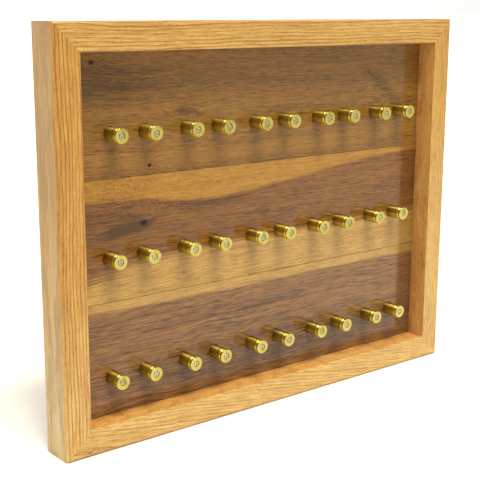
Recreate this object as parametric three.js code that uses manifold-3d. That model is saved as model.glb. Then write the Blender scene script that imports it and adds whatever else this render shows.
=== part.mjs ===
// Shadow box for round collectibles: a mitred oak frame around three walnut boards, with rows of brass pegs.
// Millimetres. X runs left to right, Y from the open front to the back, Z up from the surface it stands on.
import * as THREE from "three";
import { mergeVertices } from "three/addons/utils/BufferGeometryUtils.js";
import Module from "manifold-3d";

const wasm = await Module();
wasm.setup();

// Oak frame
const FRAME_WIDTH = 357;
const FRAME_HEIGHT = 279.4;
const RAIL_FACE = 18.5; // width of a rail seen from the front
const RAIL_DEPTH = 26.4; // front to back
const RAIL_ROUND = 3; // radius on the outer front edge
const RAIL_EASE = 0.5; // small chamfer on the sharp edges
const RECESS_DEPTH = 16; // from the front plane to the walnut
const REBATE_WIDTH = 6.4; // step behind the rails that the walnut lies in
const MITRE_GLUE_GAP = 0.05; // each rail stops this far short of the mitre plane
const BACK_LAND = RAIL_FACE - REBATE_WIDTH; // width of a rail at the back
const LAND_MIDDLE = BACK_LAND / 2;

// V-shaped nails across the mitres, driven in from the back
const NAIL_ARM = 4;
const NAIL_THICKNESS = 1.2; // along the mitre
const NAIL_HEIGHT = 10;
const NAIL_SUNK = 1; // below the back of the rails
const NAIL_APEX = 12.5; // from the outer corner, along the mitre
const NAIL_GAP = 0.3;

// Walnut boards, edge to edge
const BOARD_THICKNESS = 10;
const BOARD_EDGE_GAP = 0.4; // room for the wood to move in the rebate
const LOWER_SEAM = 96.9;
const UPPER_SEAM = 179.3;

// Brass casing pegs, head to the front and open mouth in a blind hole
const PEG_LENGTH = 19.15;
const PEG_HEAD_SETBACK = 1.6; // of the heads behind the front plane
const PEG_RIM_RADIUS = 4.98;
const PEG_RIM_THICKNESS = 1.27;
const PEG_RIM_CHAMFER = 0.2;
const PEG_GROOVE_RADIUS = 4.4;
const PEG_GROOVE_WIDTH = 0.9;
const PEG_BEVEL_LENGTH = 0.8; // groove back up to the body
const PEG_BODY_RADIUS = 4.96;
const PEG_MOUTH_RADIUS = 4.83;
const PEG_WALL = 0.45;
const PEG_WEB = 4.2; // solid thickness behind the head
const PEG_SIDES = 12;
const PEG_HOLE_RADIUS = 5.1;
const PEG_HOLE_DEPTH = 5;

// Pegs stand in pairs, and each pair carries one collectible
const PAIRS_PER_ROW = 5;
const PEGS_PER_PAIR = 2;
const PAIR_SPACING = 26.5; // between the two pegs of a pair
const PAIR_PITCH = 60;
const PEG_ROWS = [
  { board: "top", height: 208.4, shift: 2.3 },
  { board: "middle", height: 126.9, shift: -0.6 },
  { board: "bottom", height: 45, shift: -0.8 },
];

// Pan-head screws
const SCREW_HEAD_RADIUS = 3.2;
const SCREW_HEAD_HEIGHT = 2;
const SCREW_SHANK_RADIUS = 1.5;
const SCREW_LENGTH = 14;
const SCREW_TIP = 3;
const SCREW_SIDES = 12;
const CROSS_LENGTH = 3.4;
const CROSS_WIDTH = 0.9;
const CROSS_DEPTH = 1.1;
const PILOT_RADIUS = 1.8;
const PILOT_DEPTH = 14.5;

// Turn buttons on the side rails that keep the boards in the rebate
const BUTTON_THICKNESS = 1.2;
const BUTTON_WIDTH = 9;
const BUTTON_REACH = 17; // pivot to nose
const BUTTON_TAIL = 5; // pivot to the other end
const BUTTON_HOLE_RADIUS = 1.9;
const BUTTON_GAP = 0.2; // above the rail, and under the screw head
const BUTTON_HEIGHTS = { lower: 62, upper: 172 };

// D-ring hangers on the side rails
const HANGER_HEIGHT = 228; // of the ring's bar
const HANGER_INSET = 9.6; // from the outer face of the frame
const WIRE_RADIUS = 1;
const WIRE_SIDES = 8;
const RING_STEPS = 18; // along the bow
const RING_HALF_WIDTH = 5.75; // to the middle of the wire
const RING_LEG = 5.2; // straight stretch below the bar
const STRAP_THICKNESS = 0.9;
const STRAP_WIDTH = 7.5;
const STRAP_LENGTH = 26; // below the bar
const STRAP_HOLE_RADIUS = 1.9;
const STRAP_SCREW_DROP = 19; // of the screw below the bar
const EYE_RADIUS = WIRE_RADIUS + 0.3;
const EYE_OUTER = EYE_RADIUS + STRAP_THICKNESS;

// Rubber bumpers that keep the lower edge off the wall
const BUMPER_RADIUS = 5;
const BUMPER_HEIGHT = 5;
const BUMPER_FROM_SIDE = 28;

const OVERALL_DEPTH = RAIL_DEPTH + BUMPER_HEIGHT;
const CUT_MARGIN = 1; // how far a cutter runs past the face it enters

const materials = {
  oak: new THREE.MeshStandardMaterial({ color: 0xd3a25c, roughness: 0.42, metalness: 0 }),
  walnutTop: new THREE.MeshStandardMaterial({ color: 0x7c5a3c, roughness: 0.3, metalness: 0 }),
  walnutMiddle: new THREE.MeshStandardMaterial({ color: 0x8d6440, roughness: 0.3, metalness: 0 }),
  walnutBottom: new THREE.MeshStandardMaterial({ color: 0x6b4836, roughness: 0.3, metalness: 0 }),
  brass: new THREE.MeshStandardMaterial({ color: 0xd9b84a, roughness: 0.2, metalness: 1 }),
  zinc: new THREE.MeshStandardMaterial({ color: 0xb9bcc0, roughness: 0.35, metalness: 1 }),
  rubber: new THREE.MeshStandardMaterial({ color: 0x2b2a29, roughness: 0.8, metalness: 0 }),
};

function solidOf(geometry) {
  const bare = geometry.clone();
  bare.deleteAttribute("normal");
  bare.deleteAttribute("uv");
  const merged = mergeVertices(bare, 1e-4);
  const vertProperties = merged.attributes.position.array;
  const triVerts = new Uint32Array(merged.index.array);
  return new wasm.Manifold(new wasm.Mesh({ numProp: 3, vertProperties, triVerts }));
}

function geometryOf(solid) {
  const mesh = solid.getMesh();
  const geometry = new THREE.BufferGeometry();
  geometry.setAttribute("position", new THREE.BufferAttribute(mesh.vertProperties, 3));
  geometry.setIndex(new THREE.BufferAttribute(mesh.triVerts, 1));
  geometry.computeVertexNormals();
  return geometry;
}

// The geometry with each cutter taken away from it.
function cut(geometry, cutters) {
  let solid = solidOf(geometry);
  for (const cutter of cutters) solid = solid.subtract(solidOf(cutter));
  return geometryOf(solid);
}

function addPiece(parent, name, geometry, material) {
  const piece = new THREE.Mesh(geometry, material);
  piece.name = name;
  parent.add(piece);
  return piece;
}

function lathe(points, sides) {
  return new THREE.LatheGeometry(points.map(([radius, y]) => new THREE.Vector2(radius, y)), sides);
}

// A round cutter from the back of the frame into the wood, for a screw at local x and z.
function pilotHole(x, z) {
  const length = PILOT_DEPTH + CUT_MARGIN;
  const hole = new THREE.CylinderGeometry(PILOT_RADIUS, PILOT_RADIUS, length, SCREW_SIDES);
  return hole.translate(x, RAIL_DEPTH - PILOT_DEPTH + length / 2, z);
}

// Chevron across a mitre: the apex points inwards along the diagonal from the outer corner at the origin,
// and the two arms reach back into the two rails.
function cornerChevron(gap, height) {
  const outline = new THREE.Shape();
  const tip = gap * Math.SQRT2;
  const arm = NAIL_ARM + gap;
  const thickness = NAIL_THICKNESS + 2 * tip;
  outline.moveTo(tip, 0);
  outline.lineTo(tip - arm, arm);
  outline.lineTo(tip - arm - thickness, arm);
  outline.lineTo(tip - thickness, 0);
  outline.lineTo(tip - arm - thickness, -arm);
  outline.lineTo(tip - arm, -arm);
  outline.closePath();
  const chevron = new THREE.ExtrudeGeometry(outline, { depth: height, bevelEnabled: false });
  return chevron.translate(NAIL_APEX, 0, 0).rotateX(Math.PI / 2).rotateY(-Math.PI / 4);
}

// A rail as it stands on the left: x inwards from the outer face, y to the back, z along its length.
function makeRail(length, screws) {
  const profile = new THREE.Shape();
  profile.moveTo(RAIL_ROUND, 0);
  profile.lineTo(RAIL_FACE - RAIL_EASE, 0);
  profile.lineTo(RAIL_FACE, RAIL_EASE);
  profile.lineTo(RAIL_FACE, RECESS_DEPTH);
  profile.lineTo(BACK_LAND, RECESS_DEPTH);
  profile.lineTo(BACK_LAND, RAIL_DEPTH);
  profile.lineTo(RAIL_EASE, RAIL_DEPTH);
  profile.lineTo(0, RAIL_DEPTH - RAIL_EASE);
  profile.lineTo(0, RAIL_ROUND);
  profile.absarc(RAIL_ROUND, RAIL_ROUND, RAIL_ROUND, Math.PI, 1.5 * Math.PI, false);
  const rail = new THREE.ExtrudeGeometry(profile, { depth: length, bevelEnabled: false, curveSegments: 5 });
  const place = rail.attributes.position;
  for (let i = 0; i < place.count; i++) {
    const inset = place.getX(i) + MITRE_GLUE_GAP;
    place.setZ(i, place.getZ(i) > 0 ? length - inset : inset);
  }
  const slotHeight = NAIL_SUNK + NAIL_HEIGHT + NAIL_GAP + CUT_MARGIN;
  const lowSlot = cornerChevron(NAIL_GAP, slotHeight).translate(0, RAIL_DEPTH + CUT_MARGIN, 0);
  const highSlot = lowSlot.clone().rotateY(Math.PI / 2).translate(0, 0, length);
  const pilots = screws.map(([inset, along]) => pilotHole(inset, along));
  return cut(rail, [lowSlot, highSlot, ...pilots]);
}

function addFrame(box) {
  const leftScrews = [[HANGER_INSET, HANGER_HEIGHT - STRAP_SCREW_DROP]];
  for (const height of Object.values(BUTTON_HEIGHTS)) leftScrews.push([LAND_MIDDLE, height]);
  const rightScrews = leftScrews.map(([inset, height]) => [inset, FRAME_HEIGHT - height]);
  const rails = [
    { side: "left", length: FRAME_HEIGHT, screws: leftScrews, corner: "bottom_left", at: [0, 0] },
    { side: "top", length: FRAME_WIDTH, screws: [], corner: "top_left", at: [0, FRAME_HEIGHT] },
    {
      side: "right",
      length: FRAME_HEIGHT,
      screws: rightScrews,
      corner: "top_right",
      at: [FRAME_WIDTH, FRAME_HEIGHT],
    },
    { side: "bottom", length: FRAME_WIDTH, screws: [], corner: "bottom_right", at: [FRAME_WIDTH, 0] },
  ];
  rails.forEach(({ side, length, screws, corner, at }, turn) => {
    const [x, z] = at;
    const rail = addPiece(box, "rail_" + side, makeRail(length, screws), materials.oak);
    rail.rotation.y = (turn * Math.PI) / 2;
    rail.position.set(x, 0, z);
    const nail = addPiece(box, "v_nail_" + corner, cornerChevron(0, NAIL_HEIGHT), materials.zinc);
    nail.rotation.y = (turn * Math.PI) / 2;
    nail.position.set(x, RAIL_DEPTH - NAIL_SUNK, z);
  });
}

// The pegs of one row, from left to right.
function pegPlaces({ height, shift }) {
  const places = [];
  for (let pair = 0; pair < PAIRS_PER_ROW; pair++) {
    for (let side = 0; side < PEGS_PER_PAIR; side++) {
      const fromMiddle = (pair - (PAIRS_PER_ROW - 1) / 2) * PAIR_PITCH + (side - 0.5) * PAIR_SPACING;
      places.push([FRAME_WIDTH / 2 + shift + fromMiddle, height]);
    }
  }
  return places;
}

function addBoards(box) {
  const gap = BACK_LAND + BOARD_EDGE_GAP;
  const spans = {
    bottom: { low: gap, high: LOWER_SEAM, material: materials.walnutBottom },
    middle: { low: LOWER_SEAM, high: UPPER_SEAM, material: materials.walnutMiddle },
    top: { low: UPPER_SEAM, high: FRAME_HEIGHT - gap, material: materials.walnutTop },
  };
  for (const row of PEG_ROWS) {
    const { low, high, material } = spans[row.board];
    const middle = (low + high) / 2;
    const blank = new THREE.BoxGeometry(FRAME_WIDTH - 2 * gap, BOARD_THICKNESS, high - low);
    const holes = pegPlaces(row).map(([x, z]) => {
      const length = PEG_HOLE_DEPTH + CUT_MARGIN;
      const hole = new THREE.CylinderGeometry(PEG_HOLE_RADIUS, PEG_HOLE_RADIUS, length, PEG_SIDES);
      const y = PEG_HOLE_DEPTH - length / 2 - BOARD_THICKNESS / 2;
      return hole.translate(x - FRAME_WIDTH / 2, y, z - middle);
    });
    const board = addPiece(box, "board_" + row.board, cut(blank, holes), material);
    board.position.set(FRAME_WIDTH / 2, RECESS_DEPTH + BOARD_THICKNESS / 2, middle);
  }
}

function pegGeometry() {
  const grooveEnd = PEG_RIM_THICKNESS + PEG_GROOVE_WIDTH;
  return lathe(
    [
      [0, 0],
      [PEG_RIM_RADIUS - PEG_RIM_CHAMFER, 0],
      [PEG_RIM_RADIUS, PEG_RIM_CHAMFER],
      [PEG_RIM_RADIUS, PEG_RIM_THICKNESS],
      [PEG_GROOVE_RADIUS, PEG_RIM_THICKNESS],
      [PEG_GROOVE_RADIUS, grooveEnd],
      [PEG_BODY_RADIUS, grooveEnd + PEG_BEVEL_LENGTH],
      [PEG_MOUTH_RADIUS, PEG_LENGTH],
      [PEG_MOUTH_RADIUS - PEG_WALL, PEG_LENGTH],
      [PEG_MOUTH_RADIUS - PEG_WALL, PEG_WEB],
      [0, PEG_WEB],
    ],
    PEG_SIDES,
  );
}

function addPegs(box) {
  const geometry = pegGeometry();
  PEG_ROWS.forEach((row, rowIndex) => {
    pegPlaces(row).forEach(([x, z], column) => {
      const name = "peg_r" + (rowIndex + 1) + "_c" + (column + 1);
      addPiece(box, name, geometry, materials.brass).position.set(x, PEG_HEAD_SETBACK, z);
    });
  });
}

// Along y, with the underside of the head at y = 0 and the shank towards the front.
function screwGeometry() {
  const body = lathe(
    [
      [0, -SCREW_LENGTH],
      [SCREW_SHANK_RADIUS, SCREW_TIP - SCREW_LENGTH],
      [SCREW_SHANK_RADIUS, 0],
      [SCREW_HEAD_RADIUS, 0],
      [SCREW_HEAD_RADIUS, 0.35 * SCREW_HEAD_HEIGHT],
      [0.85 * SCREW_HEAD_RADIUS, 0.75 * SCREW_HEAD_HEIGHT],
      [0.5 * SCREW_HEAD_RADIUS, SCREW_HEAD_HEIGHT],
      [0, SCREW_HEAD_HEIGHT],
    ],
    SCREW_SIDES,
  );
  const slotHeight = CROSS_DEPTH + CUT_MARGIN;
  const middle = SCREW_HEAD_HEIGHT - CROSS_DEPTH + slotHeight / 2;
  const slot = new THREE.BoxGeometry(CROSS_LENGTH, slotHeight, CROSS_WIDTH).translate(0, middle, 0);
  return cut(body, [slot, slot.clone().rotateY(Math.PI / 2)]);
}

// Lies against the back, with its hole at the origin and its nose pointing down.
function buttonGeometry() {
  const round = BUTTON_WIDTH / 2;
  const outline = new THREE.Shape();
  outline.absarc(0, BUTTON_REACH - round, round, 0, Math.PI, false);
  outline.absarc(0, round - BUTTON_TAIL, round, Math.PI, 2 * Math.PI, false);
  outline.closePath();
  const hole = new THREE.Path();
  hole.absarc(0, 0, BUTTON_HOLE_RADIUS, 0, 2 * Math.PI, true);
  outline.holes.push(hole);
  const shape = { depth: BUTTON_THICKNESS, bevelEnabled: false, curveSegments: 8 };
  return new THREE.ExtrudeGeometry(outline, shape).rotateX(-Math.PI / 2);
}

function addTurnButtons(box) {
  const button = buttonGeometry();
  const screw = screwGeometry();
  const underHead = RAIL_DEPTH + BUTTON_THICKNESS + 2 * BUTTON_GAP;
  for (const [level, height] of Object.entries(BUTTON_HEIGHTS)) {
    for (const [side, x, turn] of [
      ["left", LAND_MIDDLE, -Math.PI / 2],
      ["right", FRAME_WIDTH - LAND_MIDDLE, Math.PI / 2],
    ]) {
      const place = level + "_" + side;
      const turned = addPiece(box, "turn_button_" + place, button, materials.zinc);
      turned.position.set(x, RAIL_DEPTH + BUTTON_GAP, height);
      turned.rotation.y = turn;
      addPiece(box, "button_screw_" + place, screw, materials.zinc).position.set(x, underHead, height);
    }
  }
}

// The strip curls round the ring's bar. Its flat side lies at y = 0 and the bar's axis is at z = 0.
function strapGeometry() {
  const section = new THREE.Shape();
  const meet = Math.asin((EYE_OUTER - STRAP_THICKNESS) / EYE_OUTER);
  section.moveTo(0, -STRAP_LENGTH);
  section.lineTo(STRAP_THICKNESS, -STRAP_LENGTH);
  section.absarc(EYE_OUTER, 0, EYE_OUTER, 1.5 * Math.PI - meet, Math.PI, false);
  section.closePath();
  const eye = new THREE.Path();
  eye.absarc(EYE_OUTER, 0, EYE_RADIUS, 0, 2 * Math.PI, true);
  section.holes.push(eye);
  const across = { depth: STRAP_WIDTH, bevelEnabled: false, curveSegments: 8 };
  const strip = new THREE.ExtrudeGeometry(section, across);
  strip.translate(0, 0, -STRAP_WIDTH / 2).rotateX(Math.PI / 2).rotateZ(Math.PI / 2);

  const round = STRAP_WIDTH / 2;
  const outline = new THREE.Shape();
  outline.moveTo(round, EYE_OUTER + CUT_MARGIN);
  outline.lineTo(-round, EYE_OUTER + CUT_MARGIN);
  outline.absarc(0, round - STRAP_LENGTH, round, Math.PI, 2 * Math.PI, false);
  outline.closePath();
  const hole = new THREE.Path();
  hole.absarc(0, -STRAP_SCREW_DROP, STRAP_HOLE_RADIUS, 0, 2 * Math.PI, true);
  outline.holes.push(hole);
  const depth = 2 * (EYE_OUTER + CUT_MARGIN);
  const cookie = new THREE.ExtrudeGeometry(outline, { depth, bevelEnabled: false, curveSegments: 6 });
  cookie.rotateX(Math.PI / 2).translate(0, depth - CUT_MARGIN, 0);
  return geometryOf(solidOf(strip).intersect(solidOf(cookie)));
}

// Hangs down from its bar, which lies along x through the origin.
function ringGeometry() {
  const points = [new THREE.Vector3(-RING_HALF_WIDTH, 0, 0)];
  const bends = 8;
  for (let i = 0; i <= bends; i++) {
    const angle = (i * Math.PI) / bends;
    const x = -RING_HALF_WIDTH * Math.cos(angle);
    points.push(new THREE.Vector3(x, 0, -RING_LEG - RING_HALF_WIDTH * Math.sin(angle)));
  }
  points.push(new THREE.Vector3(RING_HALF_WIDTH, 0, 0));
  const wire = new THREE.Shape();
  wire.absarc(0, 0, WIRE_RADIUS, 0, 2 * Math.PI, false);
  const bow = new THREE.ExtrudeGeometry(wire, {
    steps: RING_STEPS,
    curveSegments: WIRE_SIDES / 2,
    extrudePath: new THREE.CatmullRomCurve3(points, false, "centripetal"),
  });
  const barLength = 2 * (RING_HALF_WIDTH + WIRE_RADIUS);
  const bar = new THREE.CylinderGeometry(WIRE_RADIUS, WIRE_RADIUS, barLength, WIRE_SIDES);
  bar.rotateZ(Math.PI / 2);
  return geometryOf(solidOf(bow).add(solidOf(bar)));
}

function addHangers(box) {
  const strap = strapGeometry();
  const ring = ringGeometry();
  const screw = screwGeometry();
  for (const [side, x] of [
    ["left", HANGER_INSET],
    ["right", FRAME_WIDTH - HANGER_INSET],
  ]) {
    const hanger = new THREE.Group();
    hanger.position.set(x, RAIL_DEPTH, HANGER_HEIGHT);
    addPiece(hanger, "hanger_strap_" + side, strap, materials.zinc);
    addPiece(hanger, "hanger_ring_" + side, ring, materials.zinc).position.y = EYE_OUTER;
    const fixing = addPiece(hanger, "hanger_screw_" + side, screw, materials.zinc);
    fixing.position.set(0, STRAP_THICKNESS, -STRAP_SCREW_DROP);
    box.add(hanger);
  }
}

function addBumpers(box) {
  const dome = lathe(
    [
      [0, 0],
      [BUMPER_RADIUS, 0],
      [BUMPER_RADIUS, 0.5 * BUMPER_HEIGHT],
      [0.86 * BUMPER_RADIUS, 0.82 * BUMPER_HEIGHT],
      [0.55 * BUMPER_RADIUS, BUMPER_HEIGHT],
      [0, BUMPER_HEIGHT],
    ],
    16,
  );
  for (const [side, x] of [
    ["left", BUMPER_FROM_SIDE],
    ["right", FRAME_WIDTH - BUMPER_FROM_SIDE],
  ]) {
    addPiece(box, "bumper_" + side, dome, materials.rubber).position.set(x, RAIL_DEPTH, LAND_MIDDLE);
  }
}

const shadowBox = new THREE.Group();
shadowBox.position.set(-FRAME_WIDTH / 2, -OVERALL_DEPTH / 2, 0);
addFrame(shadowBox);
addBoards(shadowBox);
addPegs(shadowBox);
addTurnButtons(shadowBox);
addHangers(shadowBox);
addBumpers(shadowBox);

const part = new THREE.Group();
part.add(shadowBox);

export default part;
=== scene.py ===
"""Shadow box with brass pegs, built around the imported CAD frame.

Lengths are metres, written as millimetres times MM. Profiles and the sizes in the materials are millimetres.
"""
import math
import random

import bmesh
import bpy
from mathutils import Matrix, Vector


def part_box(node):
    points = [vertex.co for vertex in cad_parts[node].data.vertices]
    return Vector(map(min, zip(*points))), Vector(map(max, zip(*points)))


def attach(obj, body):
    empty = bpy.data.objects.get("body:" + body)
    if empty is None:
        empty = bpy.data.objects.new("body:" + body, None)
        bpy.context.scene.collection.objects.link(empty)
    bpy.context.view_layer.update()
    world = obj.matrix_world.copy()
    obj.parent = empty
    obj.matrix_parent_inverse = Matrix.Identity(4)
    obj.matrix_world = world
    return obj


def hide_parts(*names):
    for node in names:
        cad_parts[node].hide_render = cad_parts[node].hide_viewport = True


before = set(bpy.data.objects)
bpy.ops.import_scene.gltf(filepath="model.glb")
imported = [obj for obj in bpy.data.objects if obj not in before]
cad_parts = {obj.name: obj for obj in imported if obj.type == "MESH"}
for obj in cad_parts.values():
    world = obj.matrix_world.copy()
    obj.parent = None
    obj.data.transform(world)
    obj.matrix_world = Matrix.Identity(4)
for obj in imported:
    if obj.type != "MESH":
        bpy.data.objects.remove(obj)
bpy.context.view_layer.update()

MM = 0.001

# Places taken from the CAD frame
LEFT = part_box("rail_left")[0].x
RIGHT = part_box("rail_right")[1].x
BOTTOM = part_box("rail_bottom")[0].z
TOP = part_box("rail_top")[1].z
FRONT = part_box("rail_left")[0].y
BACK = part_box("rail_left")[1].y
BOARD_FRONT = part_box("board_top")[0].y
RAIL_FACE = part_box("rail_left")[1].x - LEFT

# Oak rails
RAIL_ROUND = 3 * MM
RAIL_EASE = 0.6 * MM
REBATE = 6.4 * MM
GLUE_LINE = 0.01 * MM
MITRE_EASE = 0.04 * MM
ROUND_STEPS = 10
EASE_STEPS = 4

# Walnut boards
BOARD_EASE = 0.2 * MM
SEAM_GAP = 0.24 * MM
HOLE_RADIUS = 4.95 * MM
HOLE_DEPTH = 5 * MM

# Hardware on the back. HOLE_SIDES and the like are how many sides or steps a round shape has.
NAIL_EASE = 0.04  # share of its size by which a V-nail's slot is wider
SCREW_SIDES = 40
SCREW_HEAD = 2 * MM
SCREW_HOLE = 1.9 * MM
BUTTON_WIDTH = 9 * MM
BUTTON_REACH = 17 * MM
BUTTON_TAIL = 5 * MM
BUTTON_BEVEL = 0.2 * MM
ROUND_END_STEPS = 24
HOLE_SIDES = 36
STRAP_THICKNESS = 0.9 * MM
STRAP_DROP = 19 * MM
STRAP_BEVEL = 0.12 * MM
WIRE_RADIUS = 1.0 * MM
EYE_RADIUS = 1.3 * MM
EYE_OUTER = EYE_RADIUS + STRAP_THICKNESS
EYE_END = -70
EYE_STEPS = 30
RING_HALF_WIDTH = 5.75 * MM
RING_LEG = 5.2 * MM
RING_CORNER = 1.6 * MM
CORNER_STEPS = 8
LOOP_STEPS = 40
WIRE_SIDES = 20
RECESS_HALF = 0.42 * MM
RECESS_ARM = 1.75 * MM
RECESS_DEPTH = 1.1 * MM
RECESS_RISE = 0.6 * MM
RECESS_TAPER = 0.55
BUMPER_SIDES = 48
BUMPER_SHOULDER = 0.4
BUMPER_DOME = (0.3, 0.6, 0.9, 1.15, 1.35, 1.5)
CUTTER_REACH = 9 * MM

# Pegs
PEG_SIDES = 64
PRIMER_SIDES = 40
STRIKE_OFFSET = 0.3 * MM
STRIKE_RADIUS = 0.5 * MM
STRIKE_DEPTH = 0.3 * MM
PRIMER_FACE = 0.1 * MM

# Seed of the pegs' and screws' chance turns
CHANCE_SEED = 11

# Steepest angle in degrees that is shaded smooth, on flat, turned, domed and wire pieces
FLAT_ANGLE = 24
TURNED_ANGLE = 40
DOMED_ANGLE = 50
WIRE_ANGLE = 60

# Camera: a point to the left of and above the box, with a 77 mm lens
CAMERA_PLACE = Vector((-478.7, -566.2, 287.3)) * MM
CAMERA_YAW = -38.75
CAMERA_PITCH = -12.66
CAMERA_ROLL = -0.19
LENS = 77.47
SENSOR = 36


# ---------------------------------------------------------------- meshes

def middle_of(node):
    low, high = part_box(node)
    return (low + high) / 2


def add_piece(name, vertices, faces, material):
    mesh = bpy.data.meshes.new(name)
    mesh.from_pydata([tuple(v) for v in vertices], [], faces)
    piece = bpy.data.objects.new(name, mesh)
    bpy.context.scene.collection.objects.link(piece)
    mesh.materials.append(material)
    face_outwards(mesh)
    return piece


def face_outwards(mesh):
    work = bmesh.new()
    work.from_mesh(mesh)
    bmesh.ops.recalc_face_normals(work, faces=work.faces)
    work.to_mesh(mesh)
    work.free()


def smooth(piece, angle=FLAT_ANGLE):
    """Shades a piece smooth up to an angle, and keeps its flat faces flat beside rounded edges."""
    work = bmesh.new()
    work.from_mesh(piece.data)
    for face in work.faces:
        face.smooth = True
    for edge in work.edges:
        edge.smooth = edge.calc_face_angle(math.pi) < math.radians(angle)
    work.to_mesh(piece.data)
    work.free()
    weigh = piece.modifiers.new("weigh", "WEIGHTED_NORMAL")
    weigh.keep_sharp = True
    return settle(piece)


def settle(piece):
    """Turns a piece's modifiers into its mesh."""
    shown = piece.evaluated_get(bpy.context.evaluated_depsgraph_get())
    mesh = bpy.data.meshes.new_from_object(shown)
    piece.modifiers.clear()
    piece.data = mesh
    return piece


def boolean(piece, cutter, operation="DIFFERENCE"):
    change = piece.modifiers.new("cut", "BOOLEAN")
    change.operation = operation
    change.solver = "EXACT"
    change.object = cutter
    settle(piece)
    bpy.data.objects.remove(cutter)
    return piece


def bevel(piece, width, segments=2, angle=35):
    change = piece.modifiers.new("bevel", "BEVEL")
    change.width = width
    change.segments = segments
    change.limit_method = "ANGLE"
    change.angle_limit = math.radians(angle)
    return settle(piece)


def arc(centre, radius, start, end, steps):
    """Points on a circle, with angles in degrees."""
    points = []
    for i in range(steps + 1):
        angle = math.radians(start + (end - start) * i / steps)
        points.append((centre[0] + radius * math.cos(angle), centre[1] + radius * math.sin(angle)))
    return points


def prism(name, outline, low, high, material):
    """An outline in x and y, drawn out along z from low to high."""
    count = len(outline)
    vertices = [(x, y, z) for z in (low, high) for x, y in outline]
    faces = [list(range(count)), list(range(count, 2 * count))]
    for i in range(count):
        j = (i + 1) % count
        faces.append([i, j, count + j, count + i])
    return add_piece(name, vertices, faces, material)


def lathe(name, profile, sides, material):
    """A profile of (radius, y) pairs turned about the y axis."""
    vertices, rings, faces = [], [], []
    for radius, y in profile:
        if radius == 0:
            rings.append([len(vertices)])
            vertices.append((0, y, 0))
            continue
        rings.append(list(range(len(vertices), len(vertices) + sides)))
        for i in range(sides):
            angle = 2 * math.pi * i / sides
            vertices.append((radius * math.sin(angle), y, radius * math.cos(angle)))
    for low, high in zip(rings, rings[1:]):
        for i in range(sides):
            j = (i + 1) % sides
            corners = [low[i % len(low)], low[j % len(low)], high[j % len(high)], high[i % len(high)]]
            faces.append(list(dict.fromkeys(corners)))
    return add_piece(name, vertices, faces, material)


def place(piece, matrix):
    piece.data.transform(matrix)
    piece.data.update()
    return piece


def finish_piece(piece, body, slot, *nodes):
    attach(piece, body)
    if nodes:
        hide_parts(*nodes)
    return piece


# ---------------------------------------------------------------- materials

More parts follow.
